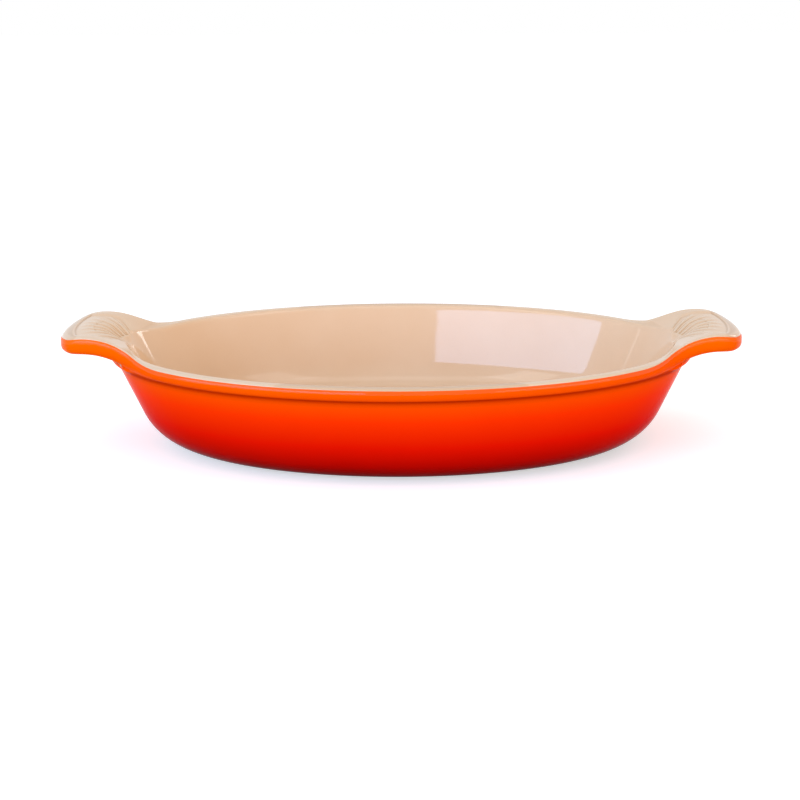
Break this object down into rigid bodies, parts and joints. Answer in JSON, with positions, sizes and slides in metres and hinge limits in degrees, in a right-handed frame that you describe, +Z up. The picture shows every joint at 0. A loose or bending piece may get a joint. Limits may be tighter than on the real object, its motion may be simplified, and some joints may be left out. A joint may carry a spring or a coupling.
{
  "type": "gratin dish",
  "caption": "Oval stoneware gratin dish with two raised, ribbed handles, a cream glaze inside and a warm red-orange glaze outside.",
  "frame": {"origin": "midway under the dish, on the surface that its foot ring stands on", "axes": "+X along the dish through both handles, +Y across it, +Z up out of the food well"},
  "size_m": [0.3556, 0.1996, 0.0635],
  "materials": {
    "bare_stoneware": "unglazed fired stoneware, matt, bare only on the foot ring",
    "cream_glaze": "glossy warm cream glaze, a little darker in the hollows",
    "warm_glaze": "glossy glaze shaded from orange at the rim to deep red at the base",
    "base_glaze": "glossy deep red glaze under the base"
  },
  "bodies": {
    "root": {"stoneware_body": "bare_stoneware", "inside_glaze": "cream_glaze", "outside_glaze": "warm_glaze", "base_glaze": "base_glaze"}
  },
  "joints": []
}
